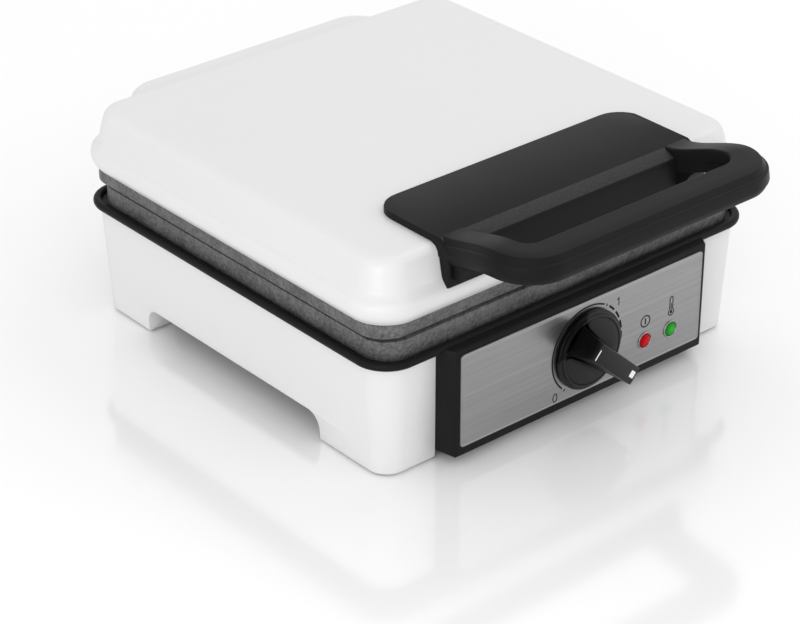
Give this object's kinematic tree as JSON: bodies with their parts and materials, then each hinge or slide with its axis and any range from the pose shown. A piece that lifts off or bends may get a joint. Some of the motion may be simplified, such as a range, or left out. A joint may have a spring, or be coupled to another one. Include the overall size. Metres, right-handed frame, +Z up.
{
  "type": "waffle maker",
  "caption": "Table-top waffle maker with a hinged white lid, cast waffle plates, black loop handle, and a front panel with a thermostat knob and two lamps.",
  "frame": {"origin": "on the table surface, under the middle of the whole outline", "axes": "+Z up, front with the handle and knob towards -Y, +X to the right seen from the front"},
  "size_m": [0.235, 0.302, 0.12],
  "materials": {
    "white_plastic": "gloss white moulding",
    "black_plastic": "satin black moulding",
    "brushed_steel": "brushed along its length",
    "coated_casting": "dark non-stick coating on cast aluminium",
    "heater_steel": "dull tube",
    "shield_steel": "plain sheet",
    "zinc_steel": "plated fasteners",
    "rubber": "matt",
    "thermostat_ceramic": "unglazed ceramic look",
    "red_lens": "red translucent",
    "green_lens": "green translucent",
    "ring_chrome": "polished",
    "white_paint": "white inlay"
  },
  "bodies": {
    "base": {"base_housing": "white_plastic", "base_surround": "black_plastic", "control_plate": "brushed_steel", "lower_waffle_plate": "coated_casting", "lower_plate_pegs": "coated_casting", "lower_heating_element": "heater_steel", "lower_heat_shield": "shield_steel", "lower_standoffs": "zinc_steel", "lower_plate_screws": "zinc_steel", "bottom_cover": "black_plastic", "bottom_cover_screws": "zinc_steel", "rubber_feet": "rubber", "thermostat_body": "thermostat_ceramic", "power_lamp_lens": "red_lens", "ready_lamp_lens": "green_lens", "lamp_rings": "ring_chrome", "lamp_holders": "black_plastic", "terminal_block": "thermostat_ceramic", "cord_gland": "rubber", "hinge_brackets": "black_plastic"},
    "lid": {"lid_shell": "white_plastic", "upper_waffle_plate": "coated_casting", "upper_plate_pegs": "coated_casting", "upper_heating_element": "heater_steel", "upper_heat_shield": "shield_steel", "upper_standoffs": "zinc_steel", "upper_plate_screws": "zinc_steel", "thermal_fuse": "zinc_steel", "lid_hinge_ears": "zinc_steel", "hinge_pins": "zinc_steel", "handle_plate": "black_plastic", "handle_grip": "black_plastic", "handle_plate_screws": "zinc_steel", "grip_screws": "zinc_steel"},
    "knob": {"control_knob": "black_plastic", "knob_marker": "white_paint", "thermostat_shaft": "zinc_steel"}
  },
  "joints": [
    {"name": "lid_hinge", "type": "hinge", "parent": "base", "child": "lid", "pos_m": [0, 0.1405, 0.085], "axis": [-1, 0, 0], "range_deg": [0, 100]},
    {"name": "knob_turn", "type": "hinge", "parent": "base", "child": "knob", "pos_m": [0.0013, -0.11, 0.0327], "axis": [0, -1, 0], "range_deg": [0, 270]}
  ]
}
